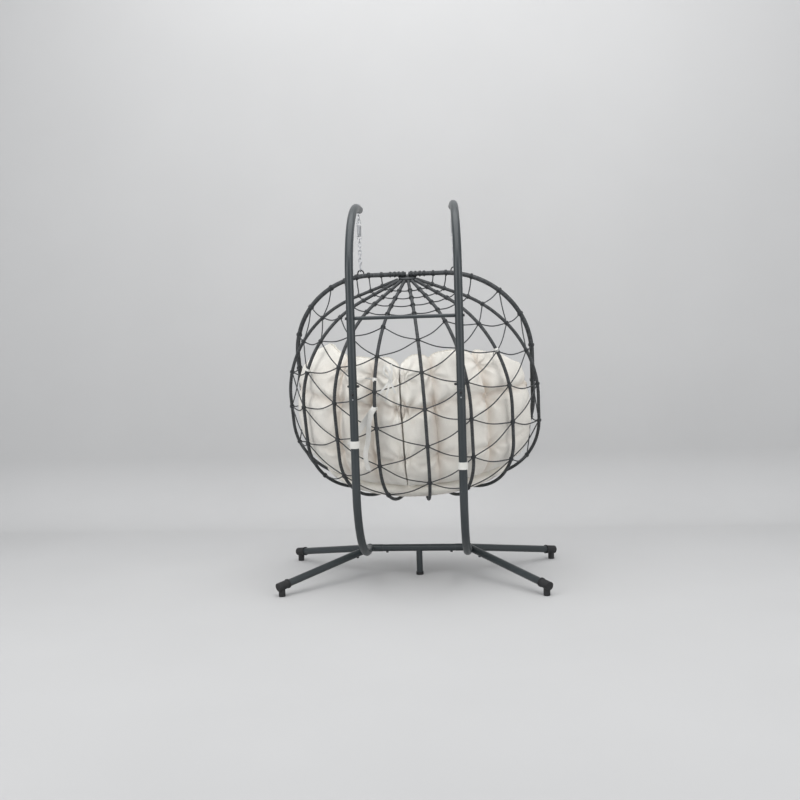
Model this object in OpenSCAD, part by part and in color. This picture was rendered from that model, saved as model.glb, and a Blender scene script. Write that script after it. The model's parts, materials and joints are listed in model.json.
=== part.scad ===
// Hanging egg chair: a net basket on springs and chains under the two arms of a steel stand.
// The sitter faces -Y. The origin is on the floor, under the middle of the base crossbar.

/* [Stand] */
// Height of the top of the arms above the floor
stand_height = 2000; // [1850:10:2150]
// Distance between the two posts, centre to centre
post_spacing = 538; // [500:2:600]
// Outer diameter of posts and arms
post_dia = 42; // [38:1:50]
// Wall of the stand's tubes
tube_wall = 2; // [1.5:0.25:3]
// Distance of the posts behind the base crossbar
post_setback = 445; // [430:5:500]
// Bend radius of the posts, on their centre line
post_bend = 390; // [340:10:392]
// How far the arms turn in towards each other, in degrees
arm_toe_in = 2.3; // [0:0.1:3]
// How far both arms turn together about their posts, in degrees
arm_skew = 2.7; // [0:0.1:3]
// Length of arm in front of its eye bolt
arm_overhang = 25; // [20:1:60]
// Height of the joint in each post
post_joint_height = 1042; // [950:1:1250]
// Length of the sleeve inside the post joint
post_sleeve_length = 140; // [100:5:200]
// Height of the upper crossbar
mid_bar_height = 1400; // [1300:5:1500]
// Diameter of the upper crossbar
mid_bar_dia = 18.5; // [16:0.5:24]

/* [Base] */
// Height of the base crossbar's centre line
base_height = 148; // [130:2:170]
// Outer diameter of the crossbar, legs and sockets
leg_dia = 38; // [34:1:40]
// Half the width across the front feet
front_foot_x = 740; // [640:10:800]
// Distance of the front feet in front of the crossbar
front_foot_y = 363; // [320:5:420]
// Half the width across the rear feet
rear_foot_x = 682; // [600:10:740]
// Distance of the rear feet behind the crossbar
rear_foot_y = 461; // [420:5:500]
// Height of a leg's centre line at its foot
foot_axis_height = 50; // [44:1:60]
// Length of each leg socket, from the middle of the connector
socket_length = 72; // [68:1:90]
// Length of the spigots inside the tubes
spigot_length = 60; // [40:5:80]
// Wall of the rubber foot caps
cap_wall = 3; // [2:0.5:5]
// Length of the rubber foot caps
cap_length = 62; // [50:2:80]

/* [Hangers] */
// Wire diameter of the eye bolts
eye_wire = 8; // [6:0.5:10]
// Radius of the eye bolts' rings, on their centre line
eye_radius = 12; // [11:0.5:16]
// Outer diameter of the springs
spring_dia = 24; // [20:0.5:30]
// Wire diameter of the springs
spring_wire = 4; // [3:0.25:4.5]
// Number of curls of each spring
spring_curls = 12; // [8:1:20]
// Clear space between neighbouring curls
spring_gap = 0.9; // [0.6:0.1:1.5]
// Wire diameter of the chain
chain_wire = 5; // [4:0.5:6]
// Inner length of a chain link
chain_pitch = 21.6; // [20:0.2:28]
// Number of links in each chain
chain_links = 5; // [3:2:9]
// Wire diameter of the snap hooks
snap_wire = 7; // [5:0.5:8]
// Width of the snap hooks, on their centre line
snap_width = 34; // [30:1:44]
// Height of the snap hooks, on their centre line
snap_height = 52; // [50:1:70]
// Wire diameter of the loops on the rim
rim_loop_wire = 7; // [6:0.5:9]
// Radius of the loops on the rim, on their centre line
rim_loop_radius = 16; // [14:0.5:20]

/* [Basket] */
// Half the width of the rim, on its centre line
rim_half_width = 647; // [600:5:680]
// Height of the rim, on its centre line
rim_height = 1163; // [1120:5:1220]
// Diameter of the wrapped rim tube
rim_dia = 24; // [20:1:28]
// Diameter of the wrapped rib tubes
rib_dia = 17; // [14:0.5:19]
// Wall of the rim and rib tubes
rib_wall = 1.5; // [1:0.25:2.5]
// Half width of the basket across its widest ribs
basket_half_width = 697; // [660:5:720]
// Depth of the basket as a share of its half width
basket_depth_share = 0.86; // [0.8:0.01:0.9]
// Backward lean of the rim, in degrees
basket_lean = 17.3; // [14:0.1:20]
// Turn of the hanging basket on its chains, in degrees
basket_turn = 3; // [0:0.1:4]
// Diameter of the net's cords
cord_dia = 6.5; // [5:0.5:8]
// Sag of a net cord as a share of its length
cord_sag = 0.07; // [0.05:0.01:0.18]

/* [Cushions] */
// Thickness of the seat cushion at its edge
seat_thickness = 115; // [90:5:130]
// Height of the seat cushion's crown
seat_crown = 24; // [10:1:35]
// Thickness of the back cushions at their lobes
back_thickness = 125; // [90:5:140]
// Height of the back cushions
back_height = 700; // [600:10:740]
// Depth of the sewn tufts
tuft_depth = 30; // [15:1:40]

/* [Hidden] */
$fn = 48;
clearance = 0.3;
post_r = post_dia / 2;
leg_r = leg_dia / 2;
post_x = post_spacing / 2;
arm_z = stand_height - post_r;
post_start_y = post_setback - post_bend;
function arm_turn(side) = arm_skew - side * arm_toe_in;
function hook_x(side) = side * post_x + post_setback * tan(arm_turn(side));
function arm_length(side) = post_setback / cos(arm_turn(side)) + arm_overhang;
hook_reach = (hook_x(1) - hook_x(-1)) / 2;
hook_middle = (hook_x(1) + hook_x(-1)) / 2;
SIDES = [1, -1];

// Paths: a polyline with rounded corners, in its own plane
function heading(a, b) = (b - a) / norm(b - a);
function cross_z(u, v) = u[0] * v[1] - u[1] * v[0];
function turn_at(p, i) = i <= 0 || i >= len(p) - 1 ? 0
    : let (u = heading(p[i - 1], p[i]), v = heading(p[i], p[i + 1])) atan2(cross_z(u, v), u * v);
function cut_at(p, radii, i) = i <= 0 || i >= len(p) - 1 ? 0 : radii[i - 1] * tan(abs(turn_at(p, i)) / 2);
function run_length(p, radii, i) = norm(p[i + 1] - p[i]) - cut_at(p, radii, i) - cut_at(p, radii, i + 1);
function arc_length(p, radii, i) = i >= len(p) - 1 ? 0 : radii[i - 1] * abs(turn_at(p, i)) * PI / 180;
function left_of(u) = [-u[1], u[0]];
function arc_start(p, radii, i) = p[i] - heading(p[i - 1], p[i]) * cut_at(p, radii, i);
function arc_centre(p, radii, i) =
    arc_start(p, radii, i) + left_of(heading(p[i - 1], p[i])) * radii[i - 1] * sign(turn_at(p, i));
// Point and heading at distance s along a path
function along(p, radii, s, i = 0) =
    let (u = heading(p[i], p[i + 1]), run = run_length(p, radii, i), bend = arc_length(p, radii, i + 1))
    s <= run || i >= len(p) - 2 ? [p[i] + u * (cut_at(p, radii, i) + s), u]
    : s - run <= bend ? arc_step(p, radii, i + 1, s - run)
    : along(p, radii, s - run - bend, i + 1);
function arc_step(p, radii, i, s) =
    let (u = heading(p[i - 1], p[i]), side = sign(turn_at(p, i)), n = left_of(u) * side,
        r = radii[i - 1], a = s / r * 180 / PI)
    [arc_start(p, radii, i) + n * r * (1 - cos(a)) + u * r * sin(a), u * cos(a) + n * sin(a)];

// A wall as wide as the radius makes it solid
module ring_profile(r, wall) difference() {
    circle(r);
    if (wall < r) circle(r - wall);
}

// Tube along a path in the XY plane, with a slim ferrule over each end of a bend
module bent_tube(p, radii, r, wall, ferrule = 0) {
    inset = ferrule > 0 ? ferrule_gap : 0;
    for (i = [0 : len(p) - 2]) {
        u = heading(p[i], p[i + 1]);
        first = i > 0 ? inset : 0;
        last = i < len(p) - 2 ? inset : 0;
        start = p[i] + u * (cut_at(p, radii, i) + first);
        run = run_length(p, radii, i) - first - last;
        if (run > clearance) translate([start[0], start[1], 0]) rotate([0, 0, atan2(u[1], u[0])])
            rotate([0, 90, 0]) linear_extrude(run) ring_profile(r, wall);
    }
    for (i = [1 : 1 : len(p) - 2]) {
        c = arc_centre(p, radii, i);
        a = arc_start(p, radii, i) - c;
        turn = turn_at(p, i);
        trim = inset / radii[i - 1] * 180 / PI;
        translate([c[0], c[1], 0]) rotate([0, 0, atan2(a[1], a[0]) + min(turn, 0) + trim])
            rotate_extrude(angle = abs(turn) - 2 * trim, $fn = 96) translate([radii[i - 1], 0]) ring_profile(r, wall);
        if (ferrule > 0) for (q = [[arc_start(p, radii, i), heading(p[i - 1], p[i])],
                [p[i] + heading(p[i], p[i + 1]) * cut_at(p, radii, i), heading(p[i], p[i + 1])]])
            translate([q[0][0], q[0][1], 0]) rotate([0, 0, atan2(q[1][1], q[1][0])]) rotate([0, 90, 0])
                cylinder(h = ferrule_length, r = r + ferrule, center = true);
    }
}
ferrule_gap = 1;
ferrule_length = 6;

// Straight rod or tube from a to b
module rod(a, b, r) {
    d = b - a;
    translate(a) rotate([0, acos(d[2] / norm(d)), atan2(d[1], d[0])]) cylinder(h = norm(d), r = r);
}

module pipe(a, b, r, wall) {
    d = b - a;
    translate(a) rotate([0, acos(d[2] / norm(d)), atan2(d[1], d[0])])
        linear_extrude(norm(d)) ring_profile(r, wall);
}

// Stand
post_plane = [90, 0, 90];
function side_x(side) = side * post_x;

module lower_post(side) color("dimgray") difference() {
    translate([side_x(side), 0, 0]) rotate(post_plane) bent_tube(
        [[post_start_y, base_height], [post_setback, base_height], [post_setback, post_joint_height]],
        [post_bend], post_r, tube_wall);
    post_joint_bores(side, [-1]);
    sleeve_button(side, button_r + clearance, 0, post_dia);
}

module upper_post(side) color("dimgray") difference() {
    translate([side_x(side), post_setback, 0]) rotate([0, 0, arm_turn(side)])
        translate([0, -post_setback, 0]) rotate(post_plane) bent_tube(
            [[post_setback, post_joint_height + clearance], [post_setback, arm_z],
             [post_setback - arm_length(side), arm_z]],
            [post_bend], post_r, tube_wall);
    post_joint_bores(side, [1]);
    rod([side_x(side) - post_dia, post_setback, mid_bar_height],
        [side_x(side) + post_dia, post_setback, mid_bar_height], mid_bolt_r + clearance);
    rod([hook_x(side), 0, arm_z - post_dia], [hook_x(side), 0, arm_z + post_dia], eye_wire / 2 + clearance);
}

mid_bolt_r = 4;
joint_bolt_r = 4;
joint_bolt_step = 20.5;
bolt_head_r = 7;
bolt_head_h = 6;
head_crown = 0.5;
cap_nut_h = 12;
screw_grip = 6;
button_drop = 45;
button_r = 3.5;
button_rise = 1.5;
sleeve_r = post_r - tube_wall - clearance;

// The bolt above the joint lies along X; the screw below it points forward from the back
module at_joint_bolt(side, e)
    translate([side_x(side), post_setback, post_joint_height + e * joint_bolt_step])
        rotate([0, 0, e > 0 ? (side > 0 ? 0 : 180) : 90]) children();

module post_joint_bores(side, ends) {
    for (e = ends) at_joint_bolt(side, e)
        rod([e > 0 ? -post_dia : 0, 0, 0], [post_dia, 0, 0], joint_bolt_r + clearance);
}

// Spring button of a sleeve, which snaps out through the back of the lower post
module sleeve_button(side, r, start, end) {
    z = post_joint_height - button_drop;
    rod([side_x(side), post_setback + start, z], [side_x(side), post_setback + end, z], r);
}

module post_sleeves() color("gray") for (side = SIDES) difference() {
    union() {
        pipe([side_x(side), post_setback, post_joint_height - post_sleeve_length / 2],
            [side_x(side), post_setback, post_joint_height + post_sleeve_length / 2], sleeve_r, tube_wall);
        sleeve_button(side, button_r, sleeve_r - tube_wall / 2, post_r + button_rise);
    }
    post_joint_bores(side, [-1, 1]);
}

module post_joint_bolts() color("black") for (side = SIDES, e = [-1, 1]) at_joint_bolt(side, e) {
    reach = post_r + clearance;
    rod([e > 0 ? -reach : sleeve_r - tube_wall - screw_grip, 0, 0], [reach, 0, 0], joint_bolt_r);
    translate([reach, 0, 0]) rotate([0, 90, 0])
        cylinder(h = bolt_head_h, r1 = bolt_head_r, r2 = bolt_head_r * head_crown);
    if (e > 0) translate([-reach, 0, 0]) rotate([0, -90, 0]) {
        cylinder(h = cap_nut_h / 2, r = bolt_head_r);
        translate([0, 0, cap_nut_h / 2])
            cylinder(h = cap_nut_h / 2, r1 = bolt_head_r, r2 = bolt_head_r * head_crown);
    }
}

mid_bar_r = mid_bar_dia / 2;
mid_plug_length = 30;

module mid_crossbar() color("dimgray") {
    end = post_x - post_r - clearance;
    difference() {
        rod([-end, post_setback, mid_bar_height], [end, post_setback, mid_bar_height], mid_bar_r);
        rod([-end + mid_plug_length, post_setback, mid_bar_height],
            [end - mid_plug_length, post_setback, mid_bar_height], mid_bar_r - tube_wall);
        for (side = SIDES) rod([side * (end - mid_plug_length), post_setback, mid_bar_height],
            [side * (end + post_r), post_setback, mid_bar_height], mid_bolt_r + clearance / 2);
    }
}

module mid_bar_bolts() color("black") for (side = SIDES) {
    outer = side * (post_x + post_r + clearance);
    rod([side * (post_x - post_r - mid_plug_length), post_setback, mid_bar_height],
        [outer, post_setback, mid_bar_height], mid_bolt_r);
    rod([outer, post_setback, mid_bar_height],
        [outer + side * bolt_head_h, post_setback, mid_bar_height], bolt_head_r);
}

module arm_end_plugs() color("black") for (side = SIDES)
    translate([side_x(side), post_setback, arm_z]) rotate([0, 0, arm_turn(side)])
        translate([0, -arm_length(side), 0]) rotate([90, 0, 0]) {
            cylinder(h = plug_flange, r = post_r);
            translate([0, 0, -plug_depth]) cylinder(h = plug_depth, r = sleeve_r);
        }
plug_flange = 4;
plug_depth = 14;

// Base
node_z = base_height;
function base_node(side) = [side_x(side), 0, node_z];
function front_foot(side) = [side * front_foot_x, -front_foot_y, foot_axis_height];
function rear_foot(side) = [side * rear_foot_x, rear_foot_y, foot_axis_height];
function toward(a, b, s) = a + (b - a) / norm(b - a) * s;
leg_inner_r = leg_r - tube_wall;
spigot_r = leg_inner_r - clearance;

module base_connector(side) color("dimgray") {
    c = base_node(side);
    reach = socket_length + spigot_length;
    inner = [0, 0, node_z];
    difference() {
        union() {
            sphere_at(c, post_r + weld_bulge);
            for (n = [0 : 2]) {
                t = [front_foot(side), rear_foot(side), inner][n];
                rod(c, toward(c, t, socket_length), leg_r + n * socket_step);
                rod(toward(c, t, socket_length - 1), toward(c, t, reach), spigot_r);
            }
            rod(c, [c[0], post_start_y - clearance, c[2]], post_r);
            rod([c[0], post_start_y - clearance - 1, c[2]], [c[0], post_start_y + plug_depth, c[2]], sleeve_r);
        }
        for (t = [front_foot(side), rear_foot(side), inner]) bolt_bore(c, t);
    }
}

module sphere_at(c, r) translate(c) sphere(r);
weld_bulge = 2;
socket_step = 0.4;

leg_bolt_r = 3.5;
leg_bolt_inset = 22;

// Frame at a leg bolt: X along the tube from c towards t, Z square to it and upwards
module at_leg_bolt(c, t) {
    q = toward(c, t, socket_length + leg_bolt_inset);
    d = t - c;
    translate(q) rotate([0, -atan2(d[2], norm([d[0], d[1]])), atan2(d[1], d[0])]) children();
}

// Bolt from below through a tube and its spigot
module leg_bolt(c, t) at_leg_bolt(c, t) {
    translate([0, 0, -leg_r - clearance - bolt_head_h]) cylinder(h = bolt_head_h, r = bolt_head_r);
    translate([0, 0, -leg_r - clearance]) cylinder(h = leg_r + leg_bolt_reach, r = leg_bolt_r);
}
leg_bolt_reach = 8;

module leg_bolts() color("black") for (side = SIDES)
    for (t = [front_foot(side), rear_foot(side), [0, 0, node_z]]) leg_bolt(base_node(side), t);

module bolt_bore(c, t) at_leg_bolt(c, t)
    translate([0, 0, -leg_dia]) cylinder(h = leg_dia + leg_bolt_reach + clearance, r = leg_bolt_r + clearance);

module leg(side, foot) color("dimgray") difference() {
    pipe(toward(base_node(side), foot, socket_length + clearance), foot, leg_r, tube_wall);
    bolt_bore(base_node(side), foot);
}

module base_crossbar() color("dimgray") difference() {
    end = post_x - socket_length - clearance;
    pipe([-end, 0, node_z], [end, 0, node_z], leg_r, tube_wall);
    for (side = SIDES) bolt_bore(base_node(side), [0, 0, node_z]);
    rod([0, 0, 0], [0, 0, node_z], stub_r + clearance);
}

stub_r = 17;
stub_cap_h = 12;
stub_rise = 0.4;
stub_top = base_height - leg_inner_r * stub_rise;
stub_base = 4;
module centre_stub_leg() color("dimgray") pipe([0, 0, stub_base + clearance], [0, 0, stub_top], stub_r, tube_wall);

module centre_stub_cap() color("black") difference() {
    cylinder(h = stub_base + stub_cap_h, r = stub_r + cap_wall);
    translate([0, 0, stub_base]) cylinder(h = stub_base + stub_cap_h, r = stub_r + clearance / 2);
}

pad_r = 17;
// Rubber cap on a foot, with a collar and a flat pad under it
module foot_cap(side, foot) color("black") {
    c = base_node(side);
    outer = leg_r + cap_wall;
    length = norm(foot - c);
    far = toward(c, foot, length + cap_wall);
    near = toward(c, foot, length - cap_length);
    difference() {
        union() {
            rod(near, far, outer);
            rod(near, toward(c, foot, length - cap_length + collar_length), outer + collar_height);
            translate([foot[0], foot[1], 0]) rotate([0, 0, atan2(foot[1] - c[1], foot[0] - c[0])])
                translate([-pad_r - cap_wall, 0, 0]) cylinder(h = foot_axis_height, r = pad_r);
        }
        rod(toward(c, foot, length - cap_length * 1.5), toward(c, foot, length + clearance),
            leg_r + clearance / 2);
    }
}
collar_length = 8;
collar_height = 2;

// Hangers, built downwards from the ring of each eye bolt
eye_neck = 8;
eye_z = arm_z - post_r - eye_radius - eye_wire / 2 - eye_neck;
spring_r = (spring_dia - spring_wire) / 2;
loop_r = spring_r - 1;
spring_pitch = spring_wire + spring_gap;
coil_height = spring_curls * spring_pitch;
end_plate_h = 5;
// Heights of wire centres
function hang_below(z, upper, lower) = z + (upper + lower) / 2 + clearance;
upper_loop_top = hang_below(eye_z - eye_radius, eye_wire, spring_wire);
upper_loop_z = upper_loop_top - loop_r;
upper_plate_top = upper_loop_z - loop_r - spring_wire / 2 + 1;
coil_top = upper_plate_top - end_plate_h;
spring_lead = 2.5 * spring_wire;
spring_length = coil_height + 2 * spring_lead;
lower_plate_top = coil_top - spring_length;
lower_loop_z = lower_plate_top - end_plate_h - loop_r - spring_wire / 2 + 1;
link_height = chain_pitch + chain_wire;
link_step = link_height - chain_wire - clearance;
chain_top = hang_below(lower_loop_z - loop_r, spring_wire, chain_wire);
chain_bottom = chain_top - link_height - (chain_links - 1) * link_step;
snap_top = hang_below(chain_bottom, chain_wire, snap_wire);
snap_bottom = snap_top - snap_height;
loop_top = hang_below(snap_bottom, snap_wire, rim_loop_wire);
rim_loop_z = loop_top - 2 * rim_loop_radius;

// The basket's turn moves its two loops forwards and backwards, and the hangers follow
rim_bend = 455;
loop_x = hook_reach / cos(basket_turn);
loop_drop = rim_arc_drop(loop_x);
loop_shift = loop_x * sin(basket_turn);
hang_tilt = asin(loop_shift / (eye_z - rim_loop_z));

module in_hanger(side) translate([hook_x(side), 0, eye_z]) rotate([-side * hang_tilt, 0, 0])
    translate([0, 0, -eye_z]) children();

module eye_bolts() color("silver") for (side = SIDES) translate([hook_x(side), 0, 0]) {
    translate([0, 0, eye_z]) rotate([0, 90, 0]) rotate_extrude() translate([eye_radius, 0]) circle(eye_wire / 2);
    translate([0, 0, eye_z + eye_radius]) cylinder(h = arm_z + post_r + nut_h - eye_z - eye_radius, r = eye_wire / 2);
    translate([0, 0, arm_z + post_r + clearance]) cylinder(h = nut_h, r = nut_r);
}
nut_h = 6;
nut_r = 8;

module wire_ring(z, r, wire) translate([0, 0, z]) rotate([90, 0, 0])
    rotate_extrude() translate([r, 0]) circle(wire / 2);

module spring_upper_hooks() color("silver") for (side = SIDES) in_hanger(side) {
    wire_ring(upper_loop_z, loop_r, spring_wire);
    translate([0, 0, coil_top]) cylinder(h = end_plate_h, r = spring_r + spring_wire / 2);
}

module spring_lower_hooks() color("silver") for (side = SIDES) in_hanger(side) {
    rotate([0, 0, 90]) wire_ring(lower_loop_z, loop_r, spring_wire);
    translate([0, 0, lower_plate_top - end_plate_h]) cylinder(h = end_plate_h, r = spring_r + spring_wire / 2);
}

// Helix with straight ends, swept as one tube
spring_rings = 8;
tube_sides = 6;
function helix_z(a) = coil_top - spring_lead - coil_height * a / (360 * spring_curls);
function helix_point(i) = let (a = i * 360 / spring_rings) [spring_r * cos(a), spring_r * sin(a), helix_z(a)];
helix_points = [for (i = [0 : spring_curls * spring_rings]) helix_point(i)];
spring_path = concat([[spring_r, 0, coil_top], [spring_r, 0, coil_top - spring_wire]], helix_points,
    [[spring_r, 0, lower_plate_top + spring_wire], [spring_r, 0, lower_plate_top]]);
function tangent(p, i) = heading(p[max(i - 1, 0)], p[min(i + 1, len(p) - 1)]);
function ring_at(p, i, r) =
    let (t = i == 0 || i == len(p) - 1 ? [0, 0, -1] : tangent(p, i), out = [p[i][0], p[i][1], 0] / norm([p[i][0], p[i][1]]),
        n = (out - t * (out * t)) / norm(out - t * (out * t)), b = cross(t, n))
    [for (k = [0 : tube_sides - 1]) let (a = k * 360 / tube_sides) p[i] + r * (n * cos(a) + b * sin(a))];
function tube_faces(rings, sides) = concat(
    [for (k = [1 : sides - 2]) [0, k, k + 1]],
    [for (i = [0 : rings - 2], k = [0 : sides - 1]) let (a = i * sides, b = (k + 1) % sides) [a + k, a + sides + b, a + b]],
    [for (i = [0 : rings - 2], k = [0 : sides - 1]) let (a = i * sides, b = (k + 1) % sides) [a + k, a + sides + k, a + sides + b]],
    [for (k = [1 : sides - 2]) let (a = (rings - 1) * sides) [a, a + k + 1, a + k]]);
function least_gap(p, skip) = min([for (i = [0 : len(p) - 1], j = [i + skip : 1 : len(p) - 1]) norm(p[i] - p[j])]);
echo(spring_least_gap = least_gap(helix_points, spring_rings - 1) - spring_wire);

module spring(side) color("silver") in_hanger(side)
    polyhedron([for (i = [0 : len(spring_path) - 1]) each ring_at(spring_path, i, spring_wire / 2)],
        tube_faces(len(spring_path), tube_sides));

// Oval ring in the XZ plane
module oval(width, height, wire) rotate([90, 0, 0]) {
    r = width / 2;
    run = height - width;
    for (e = [-1, 1]) {
        translate([0, e * run / 2, 0]) rotate([0, 0, e > 0 ? 0 : 180])
            rotate_extrude(angle = 180) translate([r, 0]) circle(wire / 2);
        translate([e * r, -run / 2, 0]) rotate([-90, 0, 0]) cylinder(h = run, r = wire / 2);
    }
}

link_width = 3 * chain_wire;
module chain(side) color("silver") in_hanger(side) for (i = [0 : chain_links - 1])
    translate([0, 0, chain_top - link_height / 2 - i * link_step]) rotate([0, 0, i % 2 == 0 ? 0 : 90])
        oval(link_width, link_height, chain_wire);

gate_length = snap_height - snap_width;
gate_z = snap_bottom + snap_width / 2;
gate_gap = 1.2;
gate_slim = 1;

// Snap hook in the YZ plane: an oval that is open in front, where its gate closes it
module snap_hook(side) color("silver") in_hanger(side) translate([0, 0, snap_bottom + snap_height / 2])
    rotate([90, 0, 90]) {
        r = snap_width / 2;
        for (e = [-1, 1]) translate([0, e * gate_length / 2, 0]) rotate([0, 0, e > 0 ? 0 : 180])
            rotate_extrude(angle = 180) translate([r, 0]) circle(snap_wire / 2);
        translate([r, -gate_length / 2, 0]) rotate([-90, 0, 0]) cylinder(h = gate_length, r = snap_wire / 2);
    }

module snap_gate(side) color("silver") in_hanger(side)
    translate([0, -snap_width / 2, gate_z + gate_gap])
        cylinder(h = gate_length - gate_gap - clearance, r = snap_wire / 2 - gate_slim);

// Basket, in its own upright frame, then leaned, turned and hung
hang_z = rim_loop_z + loop_drop * cos(basket_lean);
module in_basket() translate([hook_middle, loop_drop * sin(basket_lean), hang_z]) rotate([0, 0, -basket_turn])
    rotate([-basket_lean, 0, 0]) translate([0, 0, -rim_top]) children();

rim_r = rim_dia / 2;
rib_ferrule = 0.4;
rib_r = rib_dia / 2;
rim_centre = 11;
rim_top = rim_height / 2 + rim_centre;
rim_bottom = rim_top - rim_height;
hub_r = 48;
hub_h = 24;
rim_gap = 14;
rim_floor_slope = 2.8;
rim_floor_bend = 446;
rim_points = [[rim_gap / 2, rim_top], [rim_half_width, rim_top],
    [rim_half_width, rim_bottom + rim_half_width * tan(rim_floor_slope)], [rim_gap / 2, rim_bottom]];
rim_radii = [rim_bend, rim_floor_bend];
function rim_arc_drop(x) = let (past = x - (rim_half_width - rim_bend)) past <= 0 ? 0
    : rim_bend - sqrt(rim_bend * rim_bend - past * past);

RIB_ANGLES = [77, 52.1, 30.2, 10.5, -10.5, -30.2, -52.1, -77];
rib_count = len(RIB_ANGLES);
rib_roof_slope = 17.8;
rib_floor_slope = 5.5;
rib_shoulder = 585;
rib_heel = 370;
rib_drop = 2;
rib_start = hub_r + clearance + rib_r * sin(rib_roof_slope);
top_hub_z = rim_top - rim_r - clearance - hub_h / 2;
bottom_hub_z = rim_bottom - rim_r - clearance - hub_h / 2;
function rib_scale(a) = norm([sin(a), basket_depth_share * cos(a)]);
function rib_heading(a) = [sin(a), basket_depth_share * cos(a)] / rib_scale(a);
function rib_points(a) = let (w = basket_half_width * rib_scale(a), g = rib_start, z = top_hub_z - rib_drop)
    [[g, z], [w, z - (w - g) * tan(rib_roof_slope)], [w, bottom_hub_z + (w - g) * tan(rib_floor_slope)],
     [g, bottom_hub_z]];
function rib_radii(a) = [rib_shoulder * rib_scale(a), rib_heel * rib_scale(a)];

module in_plane(direction) rotate([0, 0, atan2(direction[1], direction[0])]) rotate([90, 0, 0]) children();

module rib(i) color("darkslategray") in_basket() in_plane(rib_heading(RIB_ANGLES[i]))
    bent_tube(rib_points(RIB_ANGLES[i]), rib_radii(RIB_ANGLES[i]), rib_r, rib_wall, rib_ferrule);

module rim_half(side) color("darkslategray") in_basket() in_plane([side, 0])
    bent_tube(rim_points, rim_radii, rim_r, rib_wall, rib_ferrule);

module hub(z) color("darkslategray") in_basket() translate([0, 0, z - hub_h / 2]) cylinder(h = hub_h, r = hub_r);

// Rings that stand on the rim, cut to it
module rim_loops() color("black") difference() {
    for (side = SIDES) in_hanger(side) wire_ring(rim_loop_z + rim_loop_radius, rim_loop_radius, rim_loop_wire);
    for (side = SIDES) in_basket() in_plane([side, 0]) bent_tube(rim_points, rim_radii, rim_r + clearance, rim_r + clearance);
}

// Net: each panel between two tubes is a cord that runs up and down between lashings
NET_LINES = rib_count + 2;
NET_PANELS = NET_LINES - 1;
cord_r = cord_dia / 2;
roof_rows = 4;
roof_start = 140;
roof_step = 68;
wall_start = 430;
wall_step = 155;
wall_growth = 8;
wall_cords = 10;
lashing_h = 12;
lashing_wall = 4;
roof_sag = 0.05;
function is_rim(i) = i == 0 || i == NET_LINES - 1;
function line_points(i) = is_rim(i) ? rim_points : rib_points(RIB_ANGLES[i - 1]);
function line_radii(i) = is_rim(i) ? rim_radii : rib_radii(RIB_ANGLES[i - 1]);
function line_heading(i) = i == 0 ? [1, 0] : is_rim(i) ? [-1, 0] : rib_heading(RIB_ANGLES[i - 1]);
function line_radius(i) = is_rim(i) ? rim_r : rib_r;
function line_offset(i) = is_rim(i) ? rim_gap / 2 : rib_start;
function lift(h, p) = [h[0] * p[0], h[1] * p[0], p[1]];
// Point and heading on a tube, at a length s from the basket's top centre
function on_line(i, s) = let (q = along(line_points(i), line_radii(i), s - line_offset(i)), h = line_heading(i))
    [lift(h, q[0]), lift(h, q[1])];
function roof_length(row) = roof_start + roof_step * row;
function wall_length(row) = wall_start + wall_step * row + wall_growth * row * row;
// Even tubes carry the whole rows, odd tubes the half rows
function row_on(i, m) = (i + m) % 2 == 0 ? m / 2 : (m + 1) / 2;
function lashing_r(i) = line_radius(i) + lashing_wall;

function flat_to(g, u) = (g - u * (g * u)) / norm(g - u * (g * u));
DOWN = [0, 0, -1];

module net_cord(i, sa, j, sb, sag) {
    a = on_line(i, sa);
    b = on_line(j, sb);
    chord = b[0] - a[0];
    span = norm(chord);
    u = chord / span;
    g = flat_to(DOWN, u);
    h = sag * span;
    r = (span * span / 4 + h * h) / (2 * h);
    half = asin(span / 2 / r);
    c = (a[0] + b[0]) / 2 + g * (h - r);
    z = cross(g, u);
    ua = g * sin(half) + u * cos(half);
    ub = -g * sin(half) + u * cos(half);
    ta = end_angle(abs(ua * a[1]), lashing_r(i), r);
    tb = end_angle(abs(ub * b[1]), lashing_r(j), r);
    multmatrix([[g[0], u[0], z[0], c[0]], [g[1], u[1], z[1], c[1]], [g[2], u[2], z[2], c[2]]])
        rotate([0, 0, ta - half]) rotate_extrude(angle = 2 * half - ta - tb) translate([r, 0]) circle(cord_r);
}
// Angle of the arc that stays clear of a lashing
function end_angle(slant, lash, r) =
    (lash + clearance + cord_r * slant) / sqrt(1 - slant * slant) / r * 180 / PI;

module net_panel(i) color("darkslategray") in_basket() {
    for (row = [0 : roof_rows - 1]) net_cord(i, roof_length(row), i + 1, roof_length(row), roof_sag);
    for (m = [0 : wall_cords - 1])
        net_cord(i, wall_length(row_on(i, m)), i + 1, wall_length(row_on(i + 1, m)), cord_sag);
}

module lashing(i, s) {
    q = on_line(i, s);
    pipe(q[0] - q[1] * lashing_h / 2, q[0] + q[1] * lashing_h / 2, lashing_r(i), lashing_wall - clearance - rib_ferrule);
}

module net_lashings() color("darkslategray") in_basket() for (i = [0 : NET_LINES - 1]) {
    for (row = [0 : roof_rows - 1]) lashing(i, roof_length(row));
    for (m = [i % 2 : 2 : wall_cords]) lashing(i, wall_length(m / 2));
}

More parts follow.
